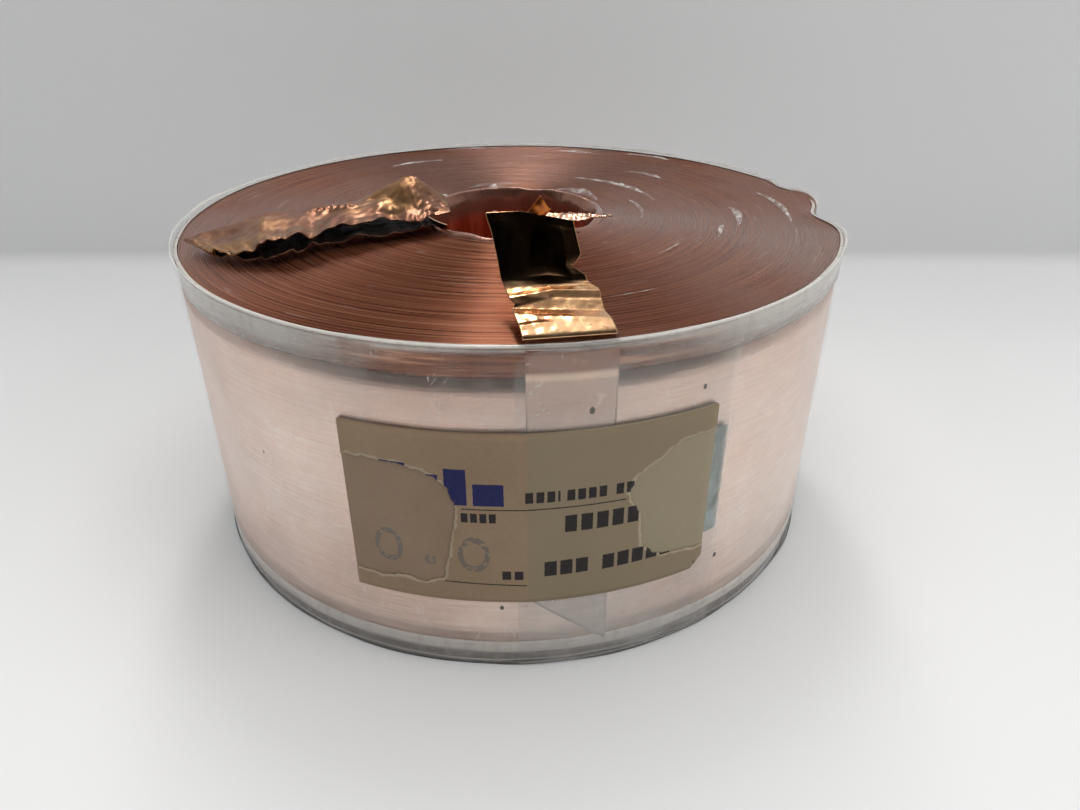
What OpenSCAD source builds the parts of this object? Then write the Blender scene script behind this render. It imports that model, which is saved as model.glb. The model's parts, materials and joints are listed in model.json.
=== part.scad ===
// Air-core choke wound from copper foil and clear film, with two folded foil leads.
// Origin at the centre of the base, +Z along the bore. Millimetres.

/* [Winding] */
// Width of the copper foil
foil_w = 38; // [26:1:50]
// Film standing past the foil at each end
film_margin = 4; // [2:0.5:6]
// Diameter of the bore left by the winding mandrel
bore_d = 25.4; // [20:0.2:32]
// Outside diameter of the wrapped coil
outer_d = 98; // [78:1:120]
// Turns drawn, each standing for about nine real ones
turns = 36; // [20:1:40]
// Thickness of the film in one drawn turn
film_t = 0.3; // [0.15:0.05:0.36]
// Clearance between one layer and the next
layer_gap = 0.03; // [0.01:0.01:0.05]
// Direction in which foil and film end, from +X
seam_angle = -87.4; // [-120:0.2:-60]

/* [Core liner and wrap] */
// Build-up of the film turns that start the winding
liner_t = 1; // [0.95:0.05:2]
// Part of the liner left inside the inner lead's pocket
liner_skin = 0.6; // [0.4:0.05:0.6]
// Thinnest part of the clear outer wrap
wrap_t = 0.35; // [0.3:0.05:1]

/* [Leads] */
// Thickness of a folded lead
lead_t = 0.3; // [0.2:0.02:0.3]
// Clearance around a lead in its pocket
pocket_gap = 0.04; // [0.02:0.01:0.05]
// Height of each lead's bend above the film edges
bend_h = 0.9; // [0.7:0.1:1.5]
// Height at which the risers start
riser_z = 3.2; // [2:0.1:6]
// Width of the outer lead
outer_lead_w = 10.1; // [8:0.1:13]
// Angle from the seam to the nearer edge of the outer lead
outer_lead_clear = 0.8; // [0.5:0.1:6]
// Reach of the outer lead towards the bore
outer_reach = 12.6; // [10:0.1:18]
// Rise of the outer lead above its bend
outer_rise = 8.7; // [6:0.1:10.5]
// Slope of the fold at the foot of the outer riser
foot_slope = 49; // [35:1:60]
// Width of the inner lead
inner_lead_w = 11.5; // [9:0.1:14]
// Direction of the inner lead, from +X
inner_lead_angle = 203; // [180:1:230]
// Reach of the inner lead towards the rim
inner_reach = 31.4; // [22:0.1:32]
// Rise of the inner lead's hump beside the bore
inner_rise = 4.9; // [3:0.1:6]

/* [Label and tapes] */
// Length of the label around the coil
label_w = 45; // [32:0.5:60]
// Height of the label
label_h = 24; // [22:0.5:28]
// Height of the label's lower edge
label_z = 11.4; // [6:0.1:12]
// Angle from the seam to the middle of the label
label_turn = 1.6; // [-10:0.1:10]
// Thickness of one ply of the label
ply_t = 0.09; // [0.05:0.01:0.15]
// Width of the label's clipped lower corner
corner_cut = 1.6; // [1:0.2:3]
// Length of the seam tape around the coil
tape_w = 27.5; // [8:0.5:30]
// Height of the seam tape
tape_h = 15.5; // [8:0.5:24]
// Thickness of the tapes
tape_t = 0.06; // [0.04:0.01:0.08]

/* [Hidden] */
$fn = 96;
bore_r = bore_d / 2;
outer_r = outer_d / 2;
film_w = foil_w + 2 * film_margin;
liner_r = bore_r + liner_t;
wind_r = liner_r + layer_gap;
pitch = (outer_r - wrap_t - layer_gap - wind_r) / (turns + 1);
foil_t = pitch - film_t - 2 * layer_gap;
wound_r = wind_r + turns * pitch;
bend_z = film_w + bend_h;
bead_r = lead_t * 0.75;

inner_riser_r = bore_r + liner_skin + pocket_gap;
inner_riser_half = asin(inner_lead_w / 2 / inner_riser_r);
outer_riser_r = wound_r + pocket_gap;
outer_riser_half = asin(outer_lead_w / 2 / outer_riser_r);
outer_lead_angle = seam_angle + outer_lead_clear + outer_riser_half;
riser_top = bend_z - bead_r - pocket_gap;

label_r = outer_r + tape_t;
label_half = label_w / 2 / label_r * 180 / PI;
label_angle = seam_angle + label_turn;
tape_half = tape_w / 2 / outer_r * 180 / PI;
// Small clearance between parts that lie on one another, and how far cutters overrun
ease = 0.01;
over = 1;

// Folds of the leads: clearance under the outer lead's fold, flat end before it, radius
// and thickness of the curled sliver, and inside radius of the inner lead's hairpin
fold_gap = 0.1;
flat_end = 3.4;
curl_r = 2.2;
curl_t = lead_t * 0.6;
hairpin_r = 0.55;

// Paths of the two leads from their bends, as inward reach and height
outer_path = [[0, 0], [outer_reach * 0.57, outer_rise * 0.22], [outer_reach, outer_rise],
  [outer_reach + flat_end, outer_rise - 0.2]];
inner_path = [[0, 0], [1.4, inner_rise], [5, inner_rise * 0.7],
  [inner_reach * 0.34, inner_rise * 0.3], [inner_reach * 0.66, inner_rise * 0.1],
  [inner_reach - 1, inner_rise * 0.1 + 0.2]];

// Outlines of the two torn patches, from the label's lower left and lower right
// corners. Both run out past the label's side.
torn_left = [[-1, 19.5], [4.8, 19.7], [8.3, 19.3], [11.3, 18.3], [12.8, 16.5], [13.6, 14],
  [13, 10.5], [12.3, 6.5], [11.6, 3.5], [9.3, 2.5], [7, 3.1], [3.8, 2.5], [-1, 2.9]];
torn_right = [[1, 20.8], [-4.7, 20.5], [-7.2, 19], [-10.4, 16.8], [-11.2, 15],
  [-10.8, 13.5], [-9.7, 11.3], [-9.2, 6.5], [-7.7, 5], [-6.2, 4.3], [-2.2, 3.7], [1, 3.3]];

// One side of a two-centred spiral: half a ring of the given inner radius.
module half_ring(r, t, h) {
  rotate_extrude(angle = 180) translate([r, 0]) square([t, h]);
}

// A ribbon wound on itself. The second half of each turn has its centre half a
// pitch to one side, so each half meets the next one flush.
module ribbon(r, t, h, z) {
  rotate([0, 0, seam_angle]) translate([0, 0, z])
    for (k = [0:turns - 1]) {
      half_ring(r + k * pitch, t, h);
      translate([pitch / 2, 0, 0]) rotate([0, 0, 180])
        half_ring(r + (k + 0.5) * pitch, t, h);
    }
}

// Everything inside one turn of that spiral.
module spiral_disc(r, h) {
  rotate([0, 0, seam_angle]) {
    rotate_extrude(angle = 180) square([r, h]);
    translate([pitch / 2, 0, 0]) rotate([0, 0, 180])
      rotate_extrude(angle = 180) square([r + pitch / 2, h]);
  }
}

module sector(r, t, h, z, middle, half) {
  translate([0, 0, z]) rotate([0, 0, middle - half])
    rotate_extrude(angle = 2 * half) translate([r, 0]) square([t, h]);
}

function unit(v) = v / norm(v);
function across(v) = [-v[1], v[0]];
function arc(c, r, a0, a1, n) =
  [for (i = [0:n]) let (a = a0 + (a1 - a0) * i / n) c + r * [cos(a), sin(a)]];

// Direction in which the two faces of a folded strip stand off its path at point i.
function mitre(path, i) =
  let (
    last = len(path) - 1,
    before = across(unit(path[max(i, 1)] - path[max(i, 1) - 1])),
    after = across(unit(path[min(i, last - 1) + 1] - path[min(i, last - 1)])),
    m = unit(before + after)
  ) m / (m * before);

function strip_outline(path, t) = concat(
  [for (i = [0:len(path) - 1]) path[i] + mitre(path, i) * t / 2],
  [for (i = [len(path) - 1:-1:0]) path[i] - mitre(path, i) * t / 2]);

// A strip of folded foil: its path lies in XZ and its width along Y.
module strip(path, w, t) {
  rotate([90, 0, 0]) linear_extrude(w, center = true) polygon(strip_outline(path, t));
}

module bead(w) {
  rotate([90, 0, 0]) cylinder(r = bead_r, h = w, center = true);
}

module at_outer_bend() {
  rotate([0, 0, outer_lead_angle]) translate([outer_riser_r + lead_t / 2, 0, bend_z])
    rotate([0, 0, 180]) children();
}

module at_inner_bend() {
  rotate([0, 0, inner_lead_angle]) translate([inner_riser_r + lead_t / 2, 0, bend_z])
    children();
}

module core_liner() {
  color([0.92, 0.93, 0.94]) difference() {
    spiral_disc(liner_r, film_w);
    translate([0, 0, -over]) cylinder(r = bore_r, h = film_w + 2 * over);
    sector(bore_r + liner_skin, liner_t + pitch, film_w, riser_z - over, inner_lead_angle,
      inner_riser_half + 1);
  }
}

module copper_foil() {
  color([0.80, 0.50, 0.38]) ribbon(wind_r, foil_t, foil_w, film_margin);
}

module insulating_film() {
  color([0.90, 0.87, 0.85]) ribbon(wind_r + foil_t + layer_gap, film_t, film_w, 0);
}

module inner_lead_riser() {
  color([0.72, 0.38, 0.24])
    sector(inner_riser_r, lead_t, riser_top - riser_z, riser_z, inner_lead_angle,
      inner_riser_half);
}

module inner_lead_tape() {
  color([0.86, 0.80, 0.62])
    sector(inner_riser_r + lead_t + ease, tape_t, foil_w / 3, riser_z + foil_w / 3,
      inner_lead_angle, inner_riser_half - 2);
}

// The foot of the riser is folded on a slope, where the foil turns from round the
// coil to up its side.
module outer_lead_riser() {
  w = outer_lead_w;
  color([0.84, 0.58, 0.46]) difference() {
    sector(outer_riser_r, lead_t, riser_top - riser_z, riser_z, outer_lead_angle,
      outer_riser_half);
    rotate([90, 0, 90 + outer_lead_angle]) linear_extrude(outer_r)
      polygon([[-w, riser_z - over], [w / 2, riser_z - over], [w / 2, riser_z],
        [-w / 2, riser_z + w * tan(foot_slope)], [-w, riser_z + w * tan(foot_slope)]]);
  }
}

module outer_lead_tape() {
  color([0.90, 0.92, 0.92])
    sector(outer_riser_r + lead_t + ease, tape_t, foil_w / 2, riser_z + foil_w / 3,
      outer_lead_angle, outer_riser_half - 0.5);
}

module outer_wrap() {
  color([0.93, 0.88, 0.86]) difference() {
    cylinder(r = outer_r, h = film_w);
    translate([0, 0, -over]) spiral_disc(wound_r, film_w + 2 * over);
    sector(wound_r - pocket_gap, lead_t + tape_t + 4 * pocket_gap, film_w,
      riser_z - over, outer_lead_angle, outer_riser_half + 0.4);
  }
}

module seam_tape() {
  color([0.80, 0.90, 0.90])
    sector(outer_r + ease, tape_t - 2 * ease, tape_h, label_z + (label_h - tape_h) * 0.6,
      seam_angle + tape_half, tape_half);
}

module label_ply(r, t) {
  difference() {
    sector(r, t, label_h, label_z, label_angle, label_half);
    rotate([0, 0, label_angle + label_half]) translate([r, 0, label_z])
      rotate([45, 0, 0]) cube([4 * corner_cut, 2 * corner_cut, sqrt(2) * corner_cut],
        center = true);
  }
}

module label_backing() {
  color([0.87, 0.79, 0.63]) label_ply(label_r, ply_t);
}

// Cuts an outline out of the printed ply, bent round the coil in upright slices.
module torn_patch(outline, side) {
  xs = [for (p = outline) p[0]];
  slice = 1;
  for (x = [floor(min(xs)):slice:ceil(max(xs)) - slice])
    rotate([0, 0, label_angle + side * label_half + x / label_r * 180 / PI])
      translate([label_r - over, 0, label_z]) rotate([90, 0, 90]) linear_extrude(3 * over)
        intersection() {
          translate([-x, 0]) polygon(outline);
          square([slice + ease, label_h]);
        }
}

module label_face() {
  color([0.90, 0.84, 0.70]) difference() {
    label_ply(label_r + ply_t + ease, ply_t);
    torn_patch(torn_left, -1);
    torn_patch(torn_right, 1);
  }
}

module outer_lead_tail() {
  color([0.86, 0.55, 0.36]) at_outer_bend() {
    strip(outer_path, outer_lead_w, lead_t);
    bead(outer_lead_w);
  }
}

module outer_lead_fold() {
  w = outer_lead_w;
  color([0.62, 0.42, 0.34]) at_outer_bend()
    translate([outer_reach - 1.2, 0, outer_rise + lead_t / 2 + fold_gap])
      linear_extrude(lead_t)
        polygon([[0, 0.4 * w], [5, 0.48 * w], [5.6, -0.2 * w], [4.6, -0.86 * w],
          [3, -0.5 * w], [0.6, -0.44 * w]]);
}

module outer_lead_curl() {
  color([0.90, 0.52, 0.30]) at_outer_bend()
    translate([outer_reach + 0.4, outer_lead_w * 0.08,
      outer_rise + 1.5 * lead_t + curl_t / 2 + fold_gap + ease])
        strip(arc([0, curl_r], curl_r, -90, 65, 10), outer_lead_w * 0.35, curl_t);
}

module inner_lead_tail() {
  color([0.74, 0.58, 0.36]) at_inner_bend() {
    strip(inner_path, inner_lead_w, lead_t);
    bead(inner_lead_w);
  }
}

// The lead is folded back over itself by a hairpin at its far end.
module inner_lead_return() {
  end = inner_path[len(inner_path) - 1] + [lead_t / 2, hairpin_r];
  back = [for (i = [4:-1:2]) inner_path[i] + [0, 2 * hairpin_r]];
  color([0.68, 0.52, 0.32]) at_inner_bend()
    strip(concat(arc(end, hairpin_r, -70, 90, 6), back), inner_lead_w, lead_t);
}

core_liner();
copper_foil();
insulating_film();
inner_lead_riser();
inner_lead_tape();
outer_lead_riser();
outer_lead_tape();
outer_wrap();
seam_tape();
label_backing();
label_face();
outer_lead_tail();
outer_lead_fold();
outer_lead_curl();
inner_lead_tail();
inner_lead_return();
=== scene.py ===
import bmesh
import bpy
import json
import math
from mathutils import Matrix, Vector, geometry, noise


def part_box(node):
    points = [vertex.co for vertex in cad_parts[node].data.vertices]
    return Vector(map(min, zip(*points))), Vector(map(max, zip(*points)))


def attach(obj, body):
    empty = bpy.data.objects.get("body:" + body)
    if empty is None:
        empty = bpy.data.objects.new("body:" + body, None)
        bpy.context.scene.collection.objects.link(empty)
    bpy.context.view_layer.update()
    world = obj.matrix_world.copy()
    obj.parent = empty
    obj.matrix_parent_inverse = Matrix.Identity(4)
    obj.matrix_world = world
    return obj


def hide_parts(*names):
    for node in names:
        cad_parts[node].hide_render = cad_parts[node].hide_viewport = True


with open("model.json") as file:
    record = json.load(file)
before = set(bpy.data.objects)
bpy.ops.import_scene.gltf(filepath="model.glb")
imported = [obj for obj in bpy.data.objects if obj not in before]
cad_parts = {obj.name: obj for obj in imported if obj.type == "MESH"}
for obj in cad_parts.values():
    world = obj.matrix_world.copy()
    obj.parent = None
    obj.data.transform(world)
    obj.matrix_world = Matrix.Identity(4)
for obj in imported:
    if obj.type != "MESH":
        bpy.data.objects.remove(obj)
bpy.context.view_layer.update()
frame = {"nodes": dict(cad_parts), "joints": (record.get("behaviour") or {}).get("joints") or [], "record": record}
nodes = frame["nodes"]
mm = 0.001

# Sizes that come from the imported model
wrapLow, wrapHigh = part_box("outer_wrap")
foilLow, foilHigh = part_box("copper_foil")
labelLow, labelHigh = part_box("label_backing")
mounts = {m["name"]: m for m in frame["record"]["mounts"]}
joints = {j["name"]: j for j in frame["joints"]}
outerR = (wrapHigh.x - wrapLow.x) / 2
filmTop = wrapHigh.z
foilBottom = foilLow.z
foilTop = foilHigh.z
boreR = mounts["core_bore"]["dims"]["r_mm"] * mm
outerBend = Vector(joints["outer_lead_bend"]["pos_m"])


class Wire:
    def __init__(self, graph, node, socket):
        self.graph = graph
        self.node = node
        self.socket = socket

    def out(self, name):
        return Wire(self.graph, self.node, self.node.outputs[name])

    def calc(self, operation, *others):
        values = dict(enumerate((self,) + others))
        return self.graph.add("ShaderNodeMath", {"operation": operation}, values)

    def flip(self, operation, other):
        return self.graph.add("ShaderNodeMath", {"operation": operation}, {0: other, 1: self})

    def __add__(self, other):
        return self.calc("ADD", other)

    def __radd__(self, other):
        return self.flip("ADD", other)

    def __sub__(self, other):
        return self.calc("SUBTRACT", other)

    def __rsub__(self, other):
        return self.flip("SUBTRACT", other)

    def __mul__(self, other):
        return self.calc("MULTIPLY", other)

    def __rmul__(self, other):
        return self.flip("MULTIPLY", other)

    def __truediv__(self, other):
        return self.calc("DIVIDE", other)

    def __gt__(self, other):
        return self.calc("GREATER_THAN", other)

    def __lt__(self, other):
        return self.calc("LESS_THAN", other)

    def __abs__(self):
        return self.calc("ABSOLUTE")


class Graph:
    def __init__(self, tree):
        self.tree = tree

    # settings are set first, then sockets take a value or a Wire
    def add(self, kind, settings=None, sockets=None, out=0):
        node = self.tree.nodes.new(kind)
        for key, value in (settings or {}).items():
            if key == "stops":
                ramp = node.color_ramp
                while len(ramp.elements) < len(value):
                    ramp.elements.new(0.5)
                for element, (place, colour) in zip(ramp.elements, value):
                    element.position = place
                    element.color = (*colour, 1)
            else:
                setattr(node, key, value)
        for key, value in (sockets or {}).items():
            socket = node.inputs[key]
            if isinstance(value, Wire):
                self.tree.links.new(value.socket, socket)
            else:
                socket.default_value = value
        return Wire(self, node, node.outputs[out])

    def noise(self, where, scale, detail=2.0, rough=0.5, distort=0.0):
        return self.add("ShaderNodeTexNoise", None, {"Vector": where, "Scale": scale,
            "Detail": detail, "Roughness": rough, "Distortion": distort})

    def ramp(self, factor, stops):
        return self.add("ShaderNodeValToRGB", {"stops": stops}, {"Fac": factor})

    def grade(self, value, low, high, toLow=0.0, toHigh=1.0):
        return self.add("ShaderNodeMapRange", {"interpolation_type": "SMOOTHSTEP"},
            {"Value": value, "From Min": low, "From Max": high, "To Min": toLow, "To Max": toHigh})

    def mix(self, factor, a, b, how="MIX"):
        node = self.add("ShaderNodeMix", {"data_type": "RGBA", "blend_type": how}, {0: factor}).node
        for socket, value in ((node.inputs[6], a), (node.inputs[7], b)):
            if isinstance(value, Wire):
                self.tree.links.new(value.socket, socket)
            else:
                socket.default_value = (*value, 1)
        return Wire(self, node, node.outputs[2])

    def join(self, x, y, z):
        return self.add("ShaderNodeCombineXYZ", None, {0: x, 1: y, 2: z})


class Finish(Graph):
    def __init__(self, name, **values):
        self.material = bpy.data.materials.new(name)
        self.material.use_nodes = True
        super().__init__(self.material.node_tree)
        self.shader = self.tree.nodes["Principled BSDF"]
        self.set(**values)

    def set(self, **values):
        for key, value in values.items():
            socket = self.shader.inputs[key.replace("_", " ")]
            if isinstance(value, Wire):
                self.tree.links.new(value.socket, socket)
            else:
                socket.default_value = value

    def place(self):
        return self.add("ShaderNodeTexCoord", out="Object")

    # distance from the bore's axis, angle round it and height
    def polar(self):
        split = self.add("ShaderNodeSeparateXYZ", None, {0: self.place()})
        x, y, z = split.out("X"), split.out("Y"), split.out("Z")
        return (x * x + y * y).calc("SQRT"), y.calc("ARCTAN2", x), z

    def bump(self, height, distance, strength=1.0):
        self.set(Normal=self.add("ShaderNodeBump", None,
            {"Strength": strength, "Distance": distance, "Height": height}))


def meshObject(name, points, faces, finish, smooth=True):
    mesh = bpy.data.meshes.new(name)
    mesh.from_pydata([tuple(p) for p in points], [], faces)
    mesh.validate()
    mesh.update()
    piece = bpy.data.objects.new(name, mesh)
    bpy.context.scene.collection.objects.link(piece)
    mesh.materials.append(finish.material)
    mesh.polygons.foreach_set("use_smooth", [smooth] * len(mesh.polygons))
    return piece


# A grid of points; wrapped joins the last column to the first
def gridFaces(rows, columns, wrapped=False):
    faces = []
    for i in range(rows - 1):
        for j in range(columns if wrapped else columns - 1):
            k = (j + 1) % columns
            faces.append((i * columns + j, i * columns + k, (i + 1) * columns + k, (i + 1) * columns + j))
    return faces


def turned(angle, radius, z):
    return Vector((radius * math.cos(angle), radius * math.sin(angle), z))


# Turns a profile of (radius, height) round the axis; reshape may move each point
def lathe(name, profile, finish, steps=256, reshape=None, closed=False):
    points = []
    rows = profile + profile[:1] if closed else profile
    for row, (radius, z) in enumerate(rows):
        for j in range(steps):
            angle = 2 * math.pi * j / steps
            r, h = reshape(angle, radius, z, row % len(profile)) if reshape else (radius, z)
            points.append(turned(angle, r, h))
    piece = meshObject(name, points, gridFaces(len(rows), steps, True), finish)
    if closed:
        weld(piece)
    return piece


def weld(piece, distance=1e-7):
    work = bmesh.new()
    work.from_mesh(piece.data)
    bmesh.ops.remove_doubles(work, verts=work.verts, dist=distance)
    bmesh.ops.recalc_face_normals(work, faces=work.faces)
    work.to_mesh(piece.data)
    work.free()


def thicken(piece, thickness, offset=0.0):
    solid = piece.modifiers.new("thickness", "SOLIDIFY")
    solid.thickness = thickness
    solid.offset = offset
    bake(piece)


def bake(piece):
    graph = bpy.context.evaluated_depsgraph_get()
    mesh = bpy.data.meshes.new_from_object(piece.evaluated_get(graph), depsgraph=graph)
    piece.modifiers.clear()
    piece.data = mesh


def wave(angle, cycles, seed):
    return noise.noise(Vector((math.cos(angle) * cycles, math.sin(angle) * cycles, seed)))


def hump(angle, middle, width):
    d = math.remainder(angle - math.radians(middle), 2 * math.pi)
    return math.exp(-(d / math.radians(width)) ** 2)


# x and z in millimetres on the front of the coil, x to the right
def onCoil(x, z, radius):
    return turned(-math.pi / 2 + x * mm / outerR, radius, z * mm)


def filmEdgeFinish():
    f = Finish("filmEdges", Metallic=0.85, Coat_Weight=0.15, Coat_Roughness=0.2,
        Anisotropic=0.92, Anisotropic_Rotation=0.25)
    r, angle, z = f.polar()
    rings = f.add("ShaderNodeTexNoise", {"noise_dimensions": "2D"},
        {"Vector": f.join(r * 2600, angle * 0.9, 0), "Scale": 1.0, "Detail": 4.0})
    broad = f.noise(f.place(), 42, 3)
    smear = f.add("ShaderNodeTexNoise", {"noise_dimensions": "2D"},
        {"Vector": f.join(r * 900, angle * 3.2, 0), "Scale": 1.0, "Detail": 3.0, "Roughness": 0.6})
    copper = f.ramp(rings, [(0.3, (0.18, 0.046, 0.019)), (0.5, (0.36, 0.112, 0.052)),
        (0.7, (0.54, 0.23, 0.125))])
    across = f.add("ShaderNodeSeparateXYZ", None, {0: f.place()})
    dx = across.out("X") + 0.012
    dy = across.out("Y") + 0.034
    haze = f.grade((dx * dx + dy * dy).calc("SQRT"), 0.016, 0.046, 0.05, 1.0)
    hazy = f.mix(f.grade(broad, 0.25, 0.6, 0.3, 0.75) * haze, copper, (0.38, 0.235, 0.195))
    scuff = f.grade(smear, 0.66, 0.78)
    f.set(Base_Color=f.mix(scuff * 0.4, hazy, (0.70, 0.52, 0.44)),
        Roughness=f.grade(rings, 0.3, 0.7, 0.26, 0.44))
    f.bump(rings * 0.7 + smear * 0.3, 0.0001, 0.5)
    return f


# x and z in millimetres on the front, and size
specks = ((10.2, 37.6, 0.32), (24.3, 37.9, 0.26), (-0.3, 9.8, 0.24), (29.5, 11.1, 0.3), (-33.0, 26.0, 0.2))


def foilSideFinish(name, tones, paintedFrontShade, paintedBendWeight=0.0):
    f = Finish(name, Coat_Roughness=0.14, Coat_Weight=0.35)
    r, angle, z = f.polar()
    lines = f.add("ShaderNodeTexNoise", {"noise_dimensions": "2D"},
        {"Vector": f.join(z * 2400, angle * 5.0, 0), "Scale": 1.0, "Detail": 4.0, "Roughness": 0.6})
    cloud = f.noise(f.place(), 36, 4)
    mottle = f.noise(f.place(), 900, 3, 0.6)
    scratch = f.add("ShaderNodeTexNoise", {"noise_dimensions": "2D"},
        {"Vector": f.join(z * 600, angle * 26, 0), "Scale": 1.0, "Detail": 5.0, "Roughness": 0.7,
            "Distortion": 1.2})
    colour = f.ramp(cloud * 0.55 + lines * 0.3 + mottle * 0.15, list(zip((0.36, 0.5, 0.64), tones)))
    # painted shade: a darker band high on the front of the side, standing in for a dark reflection
    front = f.grade(abs(angle + 1.60), 0.55, 0.15)
    shadow = front * f.grade(z + (cloud - 0.5) * 0.006, 0.0335, 0.0395) * paintedFrontShade
    shaded = f.mix(shadow, colour, (0.50, 0.32, 0.25))
    speck = 0
    for x, height, size in specks:
        du = (angle + math.pi / 2) * (outerR / mm) - x
        dv = (z / mm - height) * 0.7
        speck = speck + ((du * du + dv * dv).calc("SQRT") + (mottle - 0.5) * 0.3 < size)
    # above the foil's top the riser turns to the copper of the band, darkened as painted shade of the bend; the
    # bright line along the fold is a painted highlight
    paintedBendColour = f.mix(f.grade(z, 0.0418, 0.0428) * paintedBendWeight, shaded, (0.24, 0.085, 0.04))
    paintedFoldHighlight = f.grade(abs(z + angle * 0.0006 - 0.0411), 0.0007, 0.0001) * paintedBendWeight
    paintedBendColour = f.mix(paintedFoldHighlight * 0.6, paintedBendColour, (0.95, 0.70, 0.52))
    dusty = f.mix(f.grade(scratch, 0.6, 0.75, 0, 0.45), paintedBendColour, (0.93, 0.88, 0.84))
    f.set(Base_Color=f.mix(speck, dusty, (0.07, 0.05, 0.04)), Metallic=0.88,
        Roughness=f.grade(lines * 0.5 + mottle * 0.5, 0.35, 0.65, 0.30, 0.46))
    f.bump(lines * 0.5 + mottle * 0.25 + cloud * 0.3, 0.00016, 0.55)
    return f


# The outermost layers of film, past the foil at either end, seen through the wrap;
# heights are measured from the low side of the band
def marginFinish(name, low, high, stops, streaked):
    f = Finish(name, Coat_Roughness=0.08)
    r, angle, z = f.polar()
    streak = f.add("ShaderNodeTexNoise", {"noise_dimensions": "2D"},
        {"Vector": f.join(z * 900, angle * 2.6, 0), "Scale": 1.0, "Detail": 3.0})
    fluted = f.add("ShaderNodeTexNoise", {"noise_dimensions": "2D"},
        {"Vector": f.join(z * 40, angle * 38, 0), "Scale": 1.0, "Detail": 3.0})
    height = (z - low) / (high - low) + (streak - 0.5) * 0.22
    pale = f.ramp(height, stops)
    pale = f.mix(f.grade(fluted, 0.5, 0.68, 0, 0.3), pale, (0.30, 0.26, 0.23))
    front = f.grade(abs(angle + 1.52), 0.62, 0.25)
    reach = f.grade(height, 0.88, 0.62) * front
    blotch = f.grade(abs(angle + 1.89 + (fluted - 0.5) * 0.05), 0.06, 0.03) * f.grade(height, 0.95, 0.7)
    dark = (reach * f.grade(streak, 0.1, 0.3)).calc("MAXIMUM", blotch * 0.8) * streaked
    copper = f.ramp(streak, [(0.35, (0.10, 0.032, 0.016)), (0.55, (0.20, 0.075, 0.040)),
        (0.68, (0.50, 0.26, 0.16))])
    f.set(Base_Color=f.mix(dark, pale, copper), Metallic=dark * 0.9, Coat_Weight=0.7 - dark * 0.6,
        Roughness=f.grade(streak, 0.3, 0.7, 0.2, 0.42))
    f.bump(streak * 0.6 + fluted * 0.4, 0.0004, 0.5)
    return f


def wrapFinish():
    f = Finish("clearWrap")
    r, angle, z = f.polar()
    haze = f.noise(f.place(), 120, 3)
    scratch = f.add("ShaderNodeTexNoise", {"noise_dimensions": "2D"},
        {"Vector": f.join(z * 260, angle * 22, 3.0), "Scale": 1.0, "Detail": 5.0, "Roughness": 0.75,
            "Distortion": 2.0})
    rim = f.grade(z, filmTop - 0.0005, filmTop + 0.0001)
    # painted contact shade: the bottom 0.8 mm is darkened and made more opaque where the wrap meets the floor
    foot = f.grade(z, 0.0008, 0.0003)
    body = f.grade(haze, 0.35, 0.75, 0.03, 0.10) + f.grade(scratch, 0.66, 0.72, 0, 0.18)
    f.set(Base_Color=f.mix(foot, (0.93, 0.92, 0.88), (0.10, 0.09, 0.08)),
        Alpha=body + rim * 0.45 + foot * 0.7,
        Roughness=f.grade(haze, 0.3, 0.7, 0.08, 0.2))
    f.bump(haze, 0.0004, 0.25)
    return f


# Bare foil with creases; the inside of a fold is painted near black as painted shade
def leadFinish(name, tones, rough):
    f = Finish(name)
    fine = f.noise(f.place(), 240, 2, 0.5)
    cells = f.add("ShaderNodeTexVoronoi", {"feature": "DISTANCE_TO_EDGE"},
        {"Vector": f.place(), "Scale": 210.0, "Randomness": 1.0}, "Distance")
    tarnish = f.noise(f.place(), 110, 4, 0.6)
    colour = f.ramp(tarnish, list(zip((0.34, 0.5, 0.66), tones)))
    dull = f.grade(f.noise(f.place(), 1500, 1), 0.66, 0.74)
    worn = f.mix(dull * 0.5, colour, (0.36, 0.15, 0.09))
    split = f.add("ShaderNodeSeparateXYZ", None, {0: f.add("ShaderNodeTexCoord", out="Normal")})
    inner = f.add("ShaderNodeAttribute", {"attribute_name": "inner"}, out="Fac")
    # painted shade: faces inside a fold are made near black and dull where light doesn't reach
    under = f.grade(split.out("Z"), -0.1, 0.2) * inner
    f.set(Base_Color=f.mix(under, worn, (0.010, 0.005, 0.004)), Metallic=1 - under * 0.9,
        Roughness=f.grade(fine, 0.3, 0.75, rough * 0.6, rough) + under * 0.3, Specular_IOR_Level=0.2)
    f.bump(fine * 0.6 + cells.calc("MINIMUM", 0.1) * 1.5, 0.00014, 0.25)
    return f


def liningFinish():
    f = Finish("boreLining", Metallic=0.75, Coat_Weight=0.5, Coat_Roughness=0.08)
    r, angle, z = f.polar()
    streak = f.add("ShaderNodeTexNoise", {"noise_dimensions": "2D"},
        {"Vector": f.join(z * 90, angle * 5.0, 0), "Scale": 1.0, "Detail": 3.0})
    # the lining is copper's own colour deepened to red-orange, a painted reflection of copper in copper down the
    # bore
    colour = f.ramp(streak, [(0.3, (0.50, 0.08, 0.03)), (0.55, (0.78, 0.20, 0.10)),
        (0.75, (0.86, 0.40, 0.26))])
    f.set(Base_Color=f.mix(f.grade(z, foilTop - 0.001, foilTop + 0.001), colour, (0.36, 0.17, 0.12)),
        Roughness=f.grade(streak, 0.3, 0.7, 0.14, 0.3))
    f.bump(streak, 0.0004, 0.4)
    return f


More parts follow.
